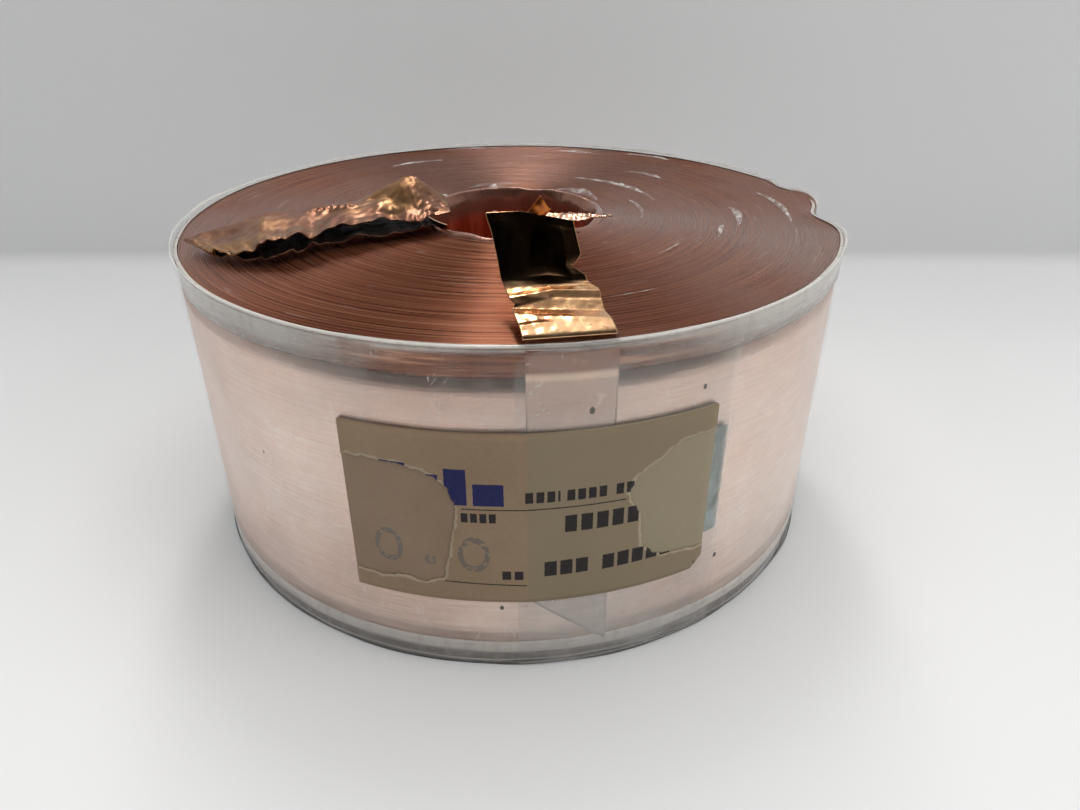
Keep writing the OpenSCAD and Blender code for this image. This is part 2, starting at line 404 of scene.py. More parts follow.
# u and v run in millimetres from the label's lower left corner
class LabelFinish(Finish):
    def __init__(self, name, **values):
        super().__init__(name, **values)
        wobble = self.noise(self.add("ShaderNodeUVMap", {"uv_map": "label"}), 3.1, 2)
        split = self.add("ShaderNodeSeparateXYZ", None, {0: self.add("ShaderNodeUVMap", {"uv_map": "label"})})
        self.u = split.out("X") + (wobble - 0.5) * 0.16
        self.v = split.out("Y") + (wobble - 0.5) * 0.12

    def bar(self, x, y, w, h, tilt=0.0):
        v = self.v - self.u * tilt
        inX = abs(self.u - (x + w / 2)) < w / 2
        inY = abs(v - (y + h / 2 - tilt * (x + w / 2))) < h / 2
        return inX * inY

    # a word set as plain blocks, with nothing to read in it
    def blocks(self, x, y, w, h, step, solid, tilt=0.0):
        phase = ((self.u - x) / step).calc("FRACT")
        return self.bar(x, y, w, h, tilt) * (phase < solid)

    def ring(self, x, y, wide, high, stroke):
        a = (self.u - x) / wide
        b = (self.v - y) / high
        return abs((a * a + b * b).calc("SQRT") - 1) < stroke


def paper(f, dark, light):
    fibre = f.noise(f.place(), 1600, 3)
    stain = f.noise(f.place(), 95, 3)
    f.bump(fibre, 0.00006, 0.5)
    f.set(Roughness=f.grade(fibre, 0.3, 0.7, 0.55, 0.8))
    return f.ramp(stain * 0.65 + fibre * 0.35, [(0.32, dark), (0.68, light)])


def stampMarks(f):
    marks = f.ring(4.9, 7.4, 1.5, 2.1, 0.2).calc("MAXIMUM", f.ring(15.4, 7.3, 1.6, 2.2, 0.2))
    marks = marks.calc("MAXIMUM", f.ring(10.1, 6.0, 0.5, 0.5, 0.5))
    patchy = f.grade(f.noise(f.place(), 1900, 2), 0.36, 0.5)
    return marks * patchy * 0.75


def labelFaceFinish():
    f = LabelFinish("printedPaper", Specular_IOR_Level=0.15)
    base = paper(f, (0.285, 0.198, 0.128), (0.35, 0.25, 0.17))
    shade = f.mix(f.grade(f.u, 21.4, 22.0, 0, 0.6), base, (0.25, 0.215, 0.143))
    torn = f.add("ShaderNodeAttribute", {"attribute_name": "torn"}, out="Fac")
    ragged = f.grade(torn + (f.noise(f.place(), 900, 2) - 0.5) * 0.8, 0.45, 0.8)
    worn = f.mix(ragged * 0.6, shade, (0.52, 0.43, 0.32))
    blue = f.bar(4.9, 14.5, 3.1, 5.2)
    for x, w, h in ((8.7, 3.0, 4.0), (12.4, 2.5, 4.9), (15.6, 3.5, 3.0)):
        blue = blue.calc("MAXIMUM", f.bar(x, 14.5, w, h))
    black = f.bar(14.2, 13.9, 19.2, 0.16)
    for x, y, w, h, step, solid, tilt in (
        (21.5, 14.9, 4.0, 1.5, 1.25, 0.72, 0.0), (26.3, 14.9, 5.0, 1.5, 1.25, 0.72, 0.0),
        (32.1, 14.9, 4.6, 1.5, 1.25, 0.72, 0.0), (14.1, 12.1, 4.3, 1.3, 1.08, 0.74, 0.0),
        (26.1, 10.4, 9.6, 2.4, 1.9, 0.74, 0.0), (23.7, 4.0, 5.6, 2.2, 1.9, 0.78, 0.02),
        (30.8, 4.1, 11.4, 2.2, 1.9, 0.78, 0.02), (18.7, 3.6, 2.9, 1.3, 1.45, 0.72, 0.0),
    ):
        black = black.calc("MAXIMUM", f.blocks(x, y, w, h, step, solid, tilt))
    black = black.calc("MAXIMUM", f.bar(11.7, 2.75, 9.9, 0.17, -0.03))
    inked = f.mix(blue * 0.96, worn, (0.012, 0.018, 0.10))
    inked = f.mix(black * 0.93, inked, (0.016, 0.014, 0.02))
    f.set(Base_Color=f.mix(stampMarks(f), inked, (0.15, 0.14, 0.13)))
    return f


def labelBackFinish():
    f = LabelFinish("tornPaper", Specular_IOR_Level=0.25)
    base = paper(f, (0.265, 0.182, 0.118), (0.325, 0.235, 0.162))
    shade = f.mix(f.grade(f.u, 21.4, 30.0, 0, 0.8), base, (0.34, 0.30, 0.205))
    marks = f.bar(3.8, 2.75, 3.5, 0.15, -0.03) * f.grade(f.noise(f.place(), 1400, 2), 0.4, 0.5)
    stamped = stampMarks(f).calc("MAXIMUM", marks * 0.8)
    f.set(Base_Color=f.mix(stamped, shade, (0.16, 0.15, 0.14)))
    return f


def tapeFinish(name, colour, alpha):
    f = Finish(name, Base_Color=(*colour, 1), Coat_Weight=0.4, Coat_Roughness=0.1)
    patch = f.noise(f.place(), 300, 3)
    f.set(Alpha=f.grade(patch, 0.3, 0.65, alpha * 0.4, alpha), Roughness=f.grade(patch, 0.3, 0.7, 0.15, 0.35))
    f.bump(patch, 0.0001, 0.4)
    return f


def clearFilmFinish():
    f = Finish("looseFilm", Base_Color=(0.95, 0.93, 0.91, 1), Coat_Weight=0.5, Coat_Roughness=0.06)
    crinkle = f.noise(f.place(), 520, 3, 0.6)
    f.set(Alpha=f.grade(crinkle, 0.42, 0.68, 0.06, 0.42), Roughness=f.grade(crinkle, 0.3, 0.7, 0.08, 0.25))
    f.bump(crinkle, 0.0003, 0.6)
    return f


finishes = {
    "edges": filmEdgeFinish(),
    "side": foilSideFinish("foilSide", ((0.66, 0.46, 0.37), (0.80, 0.60, 0.51), (0.90, 0.76, 0.68)), 0.65),
    "riser": foilSideFinish("foilRiser", ((0.44, 0.35, 0.30), (0.54, 0.45, 0.395), (0.66, 0.57, 0.52)),
        0.8, 0.9),
    "marginTop": marginFinish("marginTop", foilTop, filmTop, [(0.0, (0.10, 0.055, 0.04)),
        (0.10, (0.26, 0.19, 0.15)), (0.35, (0.42, 0.38, 0.34)), (1.0, (0.60, 0.57, 0.52))], 1.0),
    # the bottom band's darkest stops, along the floor line, are painted contact shade
    "marginFoot": marginFinish("marginFoot", 0.0, foilBottom, [(0.0, (0.03, 0.025, 0.02)),
        (0.14, (0.05, 0.04, 0.035)), (0.20, (0.46, 0.43, 0.40)), (0.27, (0.10, 0.08, 0.07)),
        (0.50, (0.12, 0.10, 0.09)), (0.62, (0.50, 0.45, 0.41)), (1.0, (0.60, 0.54, 0.50))], 0.0),
    "lead": leadFinish("creasedFoil", ((0.60, 0.27, 0.12), (0.86, 0.49, 0.25), (0.93, 0.62, 0.35)), 0.2),
    # the curl's deep orange stands in for copper reflecting copper: painted reflection
    "leadCurl": leadFinish("curledFoil", ((0.55, 0.14, 0.03), (0.85, 0.33, 0.09), (0.95, 0.52, 0.18)), 0.4),
    "leadDull": leadFinish("tarnishedFoil", ((0.28, 0.11, 0.065), (0.32, 0.16, 0.10), (0.48, 0.26, 0.12)),
        0.52),
    "leadFold": leadFinish("foldedFoil", ((0.45, 0.22, 0.13), (0.58, 0.35, 0.24), (0.9, 0.62, 0.42)), 0.3),
    "wrap": wrapFinish(), "lining": liningFinish(),
    "labelFace": labelFaceFinish(), "labelBack": labelBackFinish(),
    "tape": tapeFinish("seamTape", (0.66, 0.76, 0.73), 0.30), "loose": clearFilmFinish(),
}
print("finishes ready:", len(finishes))


# One spiral of film edges, seen from above: a bead swept along a flat spiral, with
# uneven heights
ridgeSpec = {"turns": 112, "pointsPerTurn": 150, "ridge": 0.10 * mm, "unevenness": 0.24 * mm,
    "inner": boreR + 1.1 * mm, "outer": outerR - 0.12 * mm, "seed": 3.7}


def spiralTree(spec, finish):
    tree = bpy.data.node_groups.new("filmSpiral", "GeometryNodeTree")
    for name, kind in (("Turns", "NodeSocketFloat"), ("Points per turn", "NodeSocketInt"),
        ("Inner radius", "NodeSocketFloat"), ("Outer radius", "NodeSocketFloat"),
        ("Ridge", "NodeSocketFloat"), ("Unevenness", "NodeSocketFloat"), ("Seed", "NodeSocketFloat")):
        tree.interface.new_socket(name, in_out="INPUT", socket_type=kind)
    tree.interface.new_socket("Geometry", in_out="OUTPUT", socket_type="NodeSocketGeometry")
    g = Graph(tree)
    given = g.add("NodeGroupInput")
    inner, outer, turns = given.out("Inner radius"), given.out("Outer radius"), given.out("Turns")
    path = g.add("GeometryNodeCurveSpiral", None, {"Resolution": given.out("Points per turn"),
        "Rotations": turns, "Start Radius": inner, "End Radius": outer, "Height": 0.0})
    pitch = (outer - inner) / turns
    bead = g.add("GeometryNodeCurveArc", None, {"Resolution": 4, "Radius": pitch * 0.5,
        "Start Angle": 0.0, "Sweep Angle": math.pi})
    squash = g.join(1.0, given.out("Ridge") / (pitch * 0.5), 1.0)
    shaped = g.add("GeometryNodeTransform", None, {"Geometry": bead, "Scale": squash})
    upright = g.add("GeometryNodeSetCurveNormal", None, {"Curve": path})
    swept = g.add("GeometryNodeCurveToMesh", None, {"Curve": upright, "Profile Curve": shaped})
    at = g.add("GeometryNodeInputPosition")
    split = g.add("ShaderNodeSeparateXYZ", None, {0: at})
    x, y = split.out("X"), split.out("Y")
    radius = (x * x + y * y).calc("SQRT")
    angle = y.calc("ARCTAN2", x)
    turn = g.add("ShaderNodeTexNoise", {"noise_dimensions": "4D"},
        {"Vector": g.join(radius * 420, x * 26, y * 26), "W": given.out("Seed"), "Scale": 1.0, "Detail": 3.0})
    slow = g.add("ShaderNodeTexNoise", {"noise_dimensions": "4D"},
        {"Vector": at, "W": given.out("Seed"), "Scale": 55.0, "Detail": 2.0})
    rise = ((turn - 0.5) * 0.8 + (slow - 0.5) * 1.3) * given.out("Unevenness")
    moved = g.add("GeometryNodeSetPosition", None, {"Geometry": swept, "Offset": g.join(0.0, 0.0, rise)})
    smooth = g.add("GeometryNodeSetShadeSmooth", None, {"Geometry": moved})
    real = g.add("GeometryNodeRealizeInstances", None, {"Geometry": smooth})
    coated = g.add("GeometryNodeSetMaterial", None, {"Geometry": real, "Material": finish.material})
    end = tree.nodes.new("NodeGroupOutput")
    tree.links.new(coated.socket, end.inputs["Geometry"])
    return tree


def setInput(modifier, name, value):
    for item in modifier.node_group.interface.items_tree:
        if item.item_type == "SOCKET" and item.in_out == "INPUT" and item.name == name:
            modifier[item.identifier] = value


def ridgedFace(name, spec, z, under):
    piece = meshObject(name, [(0, 0, 0)], [], finishes["edges"])
    modifier = piece.modifiers.new("spiral", "NODES")
    modifier.node_group = spiralTree(spec, finishes["edges"])
    for socket, key in (("Turns", "turns"), ("Points per turn", "pointsPerTurn"), ("Inner radius", "inner"),
        ("Outer radius", "outer"), ("Ridge", "ridge"), ("Unevenness", "unevenness"), ("Seed", "seed")):
        setInput(modifier, socket, float(spec[key]) if key != "pointsPerTurn" else spec[key])
    bake(piece)
    if under:
        piece.data.transform(Matrix.Rotation(math.pi, 4, "X"))
    piece.data.transform(Matrix.Translation((0, 0, z)))
    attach(piece, "coil")
    return piece


topEdges = ridgedFace("filmEdgesTop", ridgeSpec, filmTop - 0.55 * mm, False)
underSpec = dict(ridgeSpec, seed=9.1, unevenness=0.12 * mm, outer=outerR - 0.9 * mm)
ridgedFace("filmEdgesBottom", underSpec, 0.35 * mm, True)
low, high = [Vector(v) for v in (topEdges.bound_box[0], topEdges.bound_box[6])]
print("film edges:", len(topEdges.data.polygons), [round(v / mm, 2) for v in (*low, *high)])


# The wrap's rim is dented and bulged at the right, and loose at the left
rimSpec = {
    "lobes": ((-1.5, 5.2, -2.0), (11.0, 5.5, 0.7), (18.5, 3.0, -0.6), (24.0, 5.0, 0.3), (-14.0, 9.0, 0.35)),
    "looseAt": 186, "looseWidth": 26, "loose": 0.7 * mm, "ripple": 0.4 * mm,
}


def lobeShift(angle):
    return sum(size * mm * hump(angle, at, width) for at, width, size in rimSpec["lobes"])


def rimShift(angle):
    return lobeShift(angle) + 0.6 * rimSpec["loose"] * hump(angle, rimSpec["looseAt"], rimSpec["looseWidth"])


def dentEdges(piece):
    for vertex in piece.data.vertices:
        r = math.hypot(vertex.co.x, vertex.co.y)
        share = max(0, (r - 0.84 * outerR) / (0.16 * outerR)) ** 2
        if share > 0:
            angle = math.atan2(vertex.co.y, vertex.co.x)
            shift = lobeShift(angle)
            scale = 1 + shift * share / r
            vertex.co.x *= scale
            vertex.co.y *= scale
            vertex.co.z += share * 0.5 * max(0, shift)


dentEdges(topEdges)

sideSpec = {"inset": 0.34 * mm, "ripple": 0.05 * mm, "rows": 14, "lip": 1.2 * mm}


def windingSide(spec):
    r = outerR - spec["inset"]
    heights = [foilBottom + (foilTop - foilBottom) * i / spec["rows"] for i in range(spec["rows"] + 1)]
    profile = [(r - spec["lip"], foilBottom)] + [(r, z) for z in heights] + [(r - spec["lip"], foilTop)]

    def uneven(angle, radius, z, row):
        return radius + spec["ripple"] * wave(angle, 5, z * 60), z

    piece = lathe("foilSide", profile, finishes["side"], 320, uneven)
    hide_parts("copper_foil")
    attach(piece, "coil")
    return piece


def filmBand(name, low, high, seed, finish):
    r = outerR - sideSpec["inset"] + 0.08 * mm
    steps = 8
    profile = [(r, low + (high - low) * i / steps) for i in range(steps + 1)]
    if low > foilTop / 2:
        profile = [(r - 0.6 * mm, low)] + profile + [(r - 0.5 * mm, high + 0.05 * mm)]
    else:
        profile = [(r - 0.5 * mm, low)] + profile + [(r - 0.6 * mm, high)]

    def uneven(angle, radius, z, row):
        lobe = lobeShift(angle) if z > filmTop / 2 else 0
        return radius + 0.1 * mm * wave(angle, 7, seed + z * 300) + lobe, z

    piece = lathe(name, profile, finish, 320, uneven)
    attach(piece, "coil")
    return piece


windingSide(sideSpec)
filmBand("filmBandTop", foilTop, filmTop - 0.45 * mm, 1.0, finishes["marginTop"])
filmBand("filmBandBottom", 0.1 * mm, foilBottom, 5.0, finishes["marginFoot"])
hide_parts("insulating_film")

wrapSpec = {"wall": 0.14 * mm, "heights": (0, 0.3, 1.5, 4, 9, 15, 23, 31, 37, 40.5, 43, 44.6, 45.5, 46)}


def outerWrap(spec):
    levels = [h / 46 * filmTop for h in spec["heights"]]
    profile = [(outerR, z) for z in levels] + [(outerR - spec["wall"], z) for z in reversed(levels)]

    def uneven(angle, radius, z, row):
        up = min(1, max(0, (z - 0.86 * filmTop) / (0.14 * filmTop)))
        up = up * up * (3 - 2 * up)
        down = max(0, 1 - z / (0.06 * filmTop))
        ripple = rimSpec["ripple"] * wave(angle, 4, 2.0) + 0.5 * rimSpec["ripple"] * wave(angle, 11, 7.0)
        r = radius + up * (rimShift(angle) + 0.12 * ripple) + 0.03 * mm * wave(angle, 9, z * 90)
        r -= down * 0.35 * mm * (0.6 + wave(angle, 5, 4.0))
        back = 0.5 + 0.5 * math.sin(angle)
        h = z + up * (ripple * (0.35 + 0.7 * back) + 0.35 * lobeShift(angle))
        return r, max(h, 0)

    piece = lathe("outerWrap", profile, finishes["wrap"], 360, uneven, True)
    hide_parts("outer_wrap")
    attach(piece, "coil")
    return piece


outerWrap(wrapSpec)

# The wrap ends in a straight cut edge at the front, with one corner rounded
wrapEndSpec = {"left": 1.7, "right": 29.0, "low": 0.4, "high": 45.2, "corner": 2.2, "thickness": 0.05 * mm}


def wrapEnd(spec):
    width, height, r = spec["right"] - spec["left"], spec["high"] - spec["low"], spec["corner"]
    points = []
    rows, columns = 40, 40
    for i in range(rows + 1):
        z = spec["low"] + height * i / rows
        over = max(0, z - (spec["high"] - r))
        cut = r - math.sqrt(max(0, r * r - over * over))
        for j in range(columns + 1):
            share = j / columns
            x = spec["left"] + cut + (width - cut) * share
            points.append(onCoil(x, z, outerR + (0.05 - 0.04 * share) * mm))
    piece = meshObject("wrapEnd", points, gridFaces(rows + 1, columns + 1), finishes["wrap"])
    thicken(piece, spec["thickness"], 1.0)
    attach(piece, "coil")
    return piece


wrapEnd(wrapEndSpec)

liningSpec = {"curl": 0.9 * mm, "rows": 16}


def boreLining(spec):
    top = [(boreR + 1.25 * mm, filmTop - 0.5 * mm), (boreR + 0.7 * mm, filmTop + 0.05 * mm),
        (boreR + 0.25 * mm, filmTop)]
    wall = [(boreR, filmTop * (1 - i / spec["rows"])) for i in range(spec["rows"] + 1)]
    wall[0] = (boreR + 0.05 * mm, filmTop - 0.4 * mm)
    foot = [(boreR + 0.8 * mm, 0.05 * mm), (boreR + 1.25 * mm, 0.5 * mm)]

    def uneven(angle, radius, z, row):
        up = max(0, (z - foilTop) / (filmTop - foilTop)) ** 2
        curl = spec["curl"] * up * (0.25 + wave(angle, 2.6, 8.0))
        return radius + curl + 0.02 * mm * wave(angle, 7, z * 120), z - 0.5 * abs(curl) * up

    piece = lathe("boreLining", top + wall + foot, finishes["lining"], 192, uneven)
    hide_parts("core_liner")
    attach(piece, "coil")
    return piece


boreLining(liningSpec)

# Film edges that stand up or curl: radius, start and end angle, height, lean
loosePieces = [
    (24.0, 64, 16, 0.55, 0.5), (33.2, 52, 38, 0.5, 0.6), (42.2, 16, -9, 0.8, 0.5),
    (34.2, 4, -14, 1.1, 0.9), (32.3, -12, -23, 1.0, -0.6), (43.6, 80, 69, 0.5, 0.4),
    (13.5, 112, 93, 1.1, 0.9), (16.6, 118, 86, 0.8, 0.4), (15.2, 62, 26, 1.1, 0.8),
    (14.4, 172, 138, 1.5, 1.0),
    (28.0, -32, -44, 0.4, 0.5), (38.0, 128, 112, 0.4, 0.4), (46.4, 108, 96, 0.6, 0.3),
    (45.8, 62, 50, 0.5, 0.4), (37.0, -60, -70, 0.35, 0.4), (20.0, 20, -10, 0.5, 0.5),
]


def looseFilm(places):
    points, faces = [], []
    for k, (radius, start, end, height, lean) in enumerate(places):
        first, steps, rise = len(points), 30, 4
        for i in range(steps + 1):
            share = i / steps
            taper = math.sin(math.pi * share) ** 0.7
            angle = math.radians(start + (end - start) * share)
            for j in range(rise + 1):
                up = j / rise
                h = 0.7 * height * taper * (0.8 + 0.5 * wave(angle, 14, k * 3.1)) * up
                r = radius + lean * taper * up * up
                points.append(turned(angle, r * mm, filmTop + (h - 0.45) * mm))
        for a, b, c, d in gridFaces(steps + 1, rise + 1):
            faces.append((first + a, first + b, first + c, first + d))
    piece = meshObject("looseFilm", points, faces, finishes["loose"])
    thicken(piece, 0.05 * mm)
    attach(piece, "coil")
    return piece


looseFilm(loosePieces)
print("winding done")


# Smooth curve through points, at share 0 to 1 of its length in points
def through(points, share):
    place = share * (len(points) - 1)
    i = min(int(place), len(points) - 2)
    t = place - i
    a, b = points[i], points[i + 1]
    before = points[i - 1] if i else a * 2 - b
    after = points[i + 2] if i + 2 < len(points) else b * 2 - a
    return 0.5 * (2 * a + (b - before) * t + (2 * before - 5 * a + 4 * b - after) * t * t
        + (3 * a - before - 3 * b + after) * t ** 3)


# Flat facets that meet in straight creases, about -0.5 to 0.5
def facets(s, t, seed, scale=1.0):
    total = 0
    for k in range(5):
        turn = 1.9 * k + seed
        reach = (0.28 + 0.17 * k) * scale
        phase = (s * math.cos(turn) + t * math.sin(turn)) * reach + 0.37 * k + seed
        total += (abs(phase - math.floor(phase) - 0.5) - 0.25) / (1 + 0.6 * k)
    return total


# Points before the share given as inner lie inside a fold, where the lead finish paints them dark as painted shade
def sheetBetween(name, near, far, spec, finish, shape=None, inner=0.0):
    rows, columns = spec["rows"], spec["columns"]
    lengthMm = sum((far[i + 1] - far[i]).length for i in range(len(far) - 1))
    widthMm = (near[len(near) // 2] - far[len(far) // 2]).length
    points = []
    for i in range(rows + 1):
        s = i / rows
        a, b = through(near, s), through(far, s)
        for j in range(columns + 1):
            t = j / columns
            p = a.lerp(b, t)
            rough = spec["crumple"] * facets(s * lengthMm, t * widthMm, spec["seed"])
            ends = min(1, 8 * min(s, 1 - s)) if spec.get("calmEnds") else 1
            p = p + Vector((0, 0, rough * ends))
            if shape:
                p = shape(p, s, t)
            points.append(p * mm)
    piece = meshObject(name, points, gridFaces(rows + 1, columns + 1), finish)
    attribute = piece.data.attributes.new("inner", "FLOAT", "POINT")
    depth = [min(1, 24 * max(0, inner - i / rows)) for i in range(rows + 1)]
    attribute.data.foreach_set("value", [value * (j > 0) for value in depth for j in range(columns + 1)])
    thicken(piece, spec["ply"] * mm)
    return piece


bendRadial = Vector((outerBend.x, outerBend.y, 0)).normalized()
bendAcross = Vector((-bendRadial.y, bendRadial.x, 0))


# s inwards from the rim, t to the right, h above the bend, in millimetres
def outerPlace(s, t, h):
    return outerBend / mm - bendRadial * s + bendAcross * t + Vector((0, 0, h))


# Path of the outer lead: distance in from the rim, height, shift and half width
outerLeadSpec = {
    "path": ((-0.95, -0.3, -0.55, 4.95), (-0.4, 0.0, -0.55, 4.95), (1.0, 0.3, -0.6, 4.95),
        (3.0, 0.62, -0.8, 4.9),
        (4.6, 1.0, -0.9, 4.95), (6.4, 1.6, -0.95, 5.0), (7.6, 2.1, -1.4, 4.75), (8.5, 2.8, -1.7, 4.75),
        (9.7, 4.6, -1.9, 4.75), (11.2, 7.2, -2.3, 4.75), (11.9, 8.2, -2.5, 4.85), (12.4, 9.0, -2.6, 4.9)),
    "rows": 180, "columns": 80, "crumple": 0.06, "ply": 0.22, "seed": 0.8, "calmEnds": True,
}


def outerLead(spec):
    near = [outerPlace(s, shift - half, h) for s, h, shift, half in spec["path"]]
    far = [outerPlace(s, shift + half, h) for s, h, shift, half in spec["path"]]

    def tent(along, middle, width):
        return max(0, 1 - abs(along - middle) / width)

    def creases(p, s, t):
        along = (outerBend / mm - p).dot(bendRadial)
        valley = 4.7 - 1.4 * t
        ridge = 5.7 + 0.8 * min(1, 2 * t) - 0.5 * max(0, 2 * t - 1)
        lift = 0.24 * tent(along, ridge, 0.9) - 0.26 * tent(along, valley, 1.4)
        lift += 0.12 * tent(along + 1.6 * t, 2.9, 0.9) * tent(t, 0.6, 0.45)
        lift += 0.1 * tent(along - t, 0.9, 0.7) * (1 - t)
        steep = tent(s, 0.80, 0.22)
        lift += 0.4 * tent(s, 0.62, 0.07) * tent(t, 0.55, 0.4)
        out = 0.35 * steep * tent(t, 0.82, 0.16) - 0.35 * steep * tent(t - s, -0.35, 0.22)
        out += 0.25 * tent(s, 0.90, 0.10) * tent(t, 0.16, 0.16)
        notch = 1.3 * tent(s, 0.70, 0.05) * max(0, t - 0.75) / 0.25
        notch += 0.5 * tent(along, 5.2, 0.6) * max(0, 0.2 - t) / 0.2
        side = -1 if t > 0.5 else 1
        low = max(0, (t - 0.4) / 0.6) * max(0, (s - 0.5) / 0.5)
        return p + Vector((notch * side, -out * 0.7 - 0.9 * low, lift - 1.1 * low + out * 0.2))

    piece = sheetBetween("outerLead", near, far, spec, finishes["lead"], creases)
    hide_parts("outer_lead_tail")
    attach(piece, "outer_lead")
    return piece


outerLead(outerLeadSpec)

# The end of the outer lead, folded back flat, with a ragged tip to the right
outerFoldSpec = {"rows": 90, "columns": 36, "crumple": 0.2, "ply": 0.12, "seed": 2.3,
    "near": ((-1.4, -34.7, 55.3), (0.6, -34.9, 55.0), (2.4, -35.5, 54.4), (5.0, -35.4, 54.4),
        (8.3, -35.1, 54.7),
        (10.4, -34.8, 54.9), (12.4, -34.5, 55.0)),
    "far": ((-1.4, -33.6, 55.3), (0.9, -33.2, 55.1), (3.4, -33.0, 54.9), (6.2, -32.9, 54.9),
        (8.4, -33.1, 55.0),
        (10.6, -33.9, 55.0), (12.5, -34.3, 55.05))}


def outerFold(spec):
    near = [Vector(p) for p in spec["near"]]
    far = [Vector(p) for p in spec["far"]]

    def ragged(p, s, t):
        edge = 0.35 * noise.noise(Vector((s * 22, 0, 4.0))) * (1 - t)
        edge += 0.5 * noise.noise(Vector((s * 30, 0, 9.0))) * t
        return p + Vector((0.3 * edge, edge, 0.0))

    piece = sheetBetween("outerLeadFold", near, far, spec, finishes["leadFold"], ragged)
    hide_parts("outer_lead_fold")
    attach(piece, "outer_lead")
    return piece


outerFold(outerFoldSpec)

# A torn sliver standing up from the end, curled like a leaf
curlSpec = {"rows": 26, "columns": 16, "ply": 0.08, "bow": 0.3,
    "corners": ((2.6, -35.5, 55.25), (4.15, -35.5, 54.45), (4.4, -35.1, 57.5), (5.65, -35.1, 56.0))}


def outerCurl(spec):
    a, b, c, d = [Vector(corner) for corner in spec["corners"]]
    points = []
    for i in range(spec["rows"] + 1):
        s = i / spec["rows"]
        for j in range(spec["columns"] + 1):
            t = j / spec["columns"]
            p = a.lerp(c, s).lerp(b.lerp(d, s), t)
            out = spec["bow"] * math.sin(math.pi * t) * (0.6 + 0.6 * s) + 0.25 * facets(s * 3, t * 2, 0.4)
            points.append((p + Vector((0, -out, 0.12 * math.sin(2 * math.pi * t) * s))) * mm)
    faces = gridFaces(spec["rows"] + 1, spec["columns"] + 1)
    piece = meshObject("outerLeadCurl", points, faces, finishes["leadCurl"])
    thicken(piece, spec["ply"] * mm)
    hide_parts("outer_lead_curl")
    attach(piece, "outer_lead")
    return piece


outerCurl(curlSpec)

# The outer riser: a band up the side under the wrap, cut off below by its sloping fold
riserSpec = {"left": 2.9, "right": 13.0, "foot": 11.2, "footRight": 3.1, "rows": 60, "columns": 24}


def outerRiser(spec):
    points = []
    top = outerBend.z / mm - 0.4
    for i in range(spec["rows"] + 1):
        s = i / spec["rows"]
        for j in range(spec["columns"] + 1):
            t = j / spec["columns"]
            foot = spec["foot"] + (spec["footRight"] - spec["foot"]) * t
            z = foot + (top - foot) * s
            x = spec["left"] + (spec["right"] - spec["left"]) * t
            inset = 0.25 - 0.03 * facets(x, z * 0.5, 1.2)
            inset += 0.5 * max(0, (z - 45.0) / 1.5) - 0.06 * math.exp(-((z - 44.2 + 0.5 * t) / 0.5) ** 2)
            points.append(onCoil(x, z, outerR - inset * mm))
    faces = gridFaces(spec["rows"] + 1, spec["columns"] + 1)
    piece = meshObject("outerRiser", points, faces, finishes["riser"])
    thicken(piece, 0.06 * mm)
    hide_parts("outer_lead_riser", "outer_lead_tape")
    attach(piece, "coil")
    return piece


outerRiser(riserSpec)

# The inner lead: out of the bore along the top, round a hairpin and back over itself
innerLeadSpec = {
    "lowerNear": ((-10.3, -10.4, 46.3), (-11.4, -10.4, 46.7), (-13.4, -12.4, 46.5), (-16.4, -14.0, 46.5),
        (-21.8, -16.2, 46.5), (-25.7, -18.8, 46.5), (-28.0, -21.6, 46.45), (-30.4, -23.8, 46.4),
        (-33.6, -24.0, 46.5), (-37.0, -23.1, 46.6)),
    "lowerFar": ((-14.3, -0.6, 46.3), (-14.6, -1.6, 46.7), (-15.6, -2.8, 46.7), (-18.8, -3.6, 46.7),
        (-22.6, -4.6, 46.6), (-27.3, -5.8, 46.6), (-31.8, -8.0, 46.6), (-35.4, -11.2, 46.6),
        (-40.0, -14.4, 46.5), (-43.3, -16.7, 46.45)),
    "foldNear": (-37.8, -23.1, 46.85), "foldFar": (-44.1, -16.8, 46.55),
    "upperNear": ((-37.1, -23.0, 46.95), (-33.9, -24.0, 47.15), (-30.9, -23.5, 48.2), (-28.2, -21.1, 48.5),
        (-25.7, -18.9, 48.0), (-21.8, -15.6, 48.4), (-16.4, -12.4, 48.0), (-13.3, -12.9, 47.8),
        (-11.0, -10.9, 48.1), (-8.4, -9.2, 48.2)),
    "upperFar": ((-43.5, -16.5, 46.75), (-40.5, -14.6, 47.3), (-35.5, -11.9, 48.4), (-31.8, -8.6, 48.2),
        (-27.3, -6.4, 48.4), (-22.6, -5.6, 48.9), (-18.4, -4.8, 50.7), (-14.8, -4.2, 52.1),
        (-12.3, -4.4, 50.9), (-9.4, -4.4, 48.9)),
    "rows": 300, "columns": 44, "crumple": 0.26, "ply": 0.13, "seed": 4.1,
    "dimples": ((0.742, 0.80), (0.752, 0.76), (0.763, 0.79), (0.774, 0.74), (0.786, 0.70), (0.797, 0.66)),
}


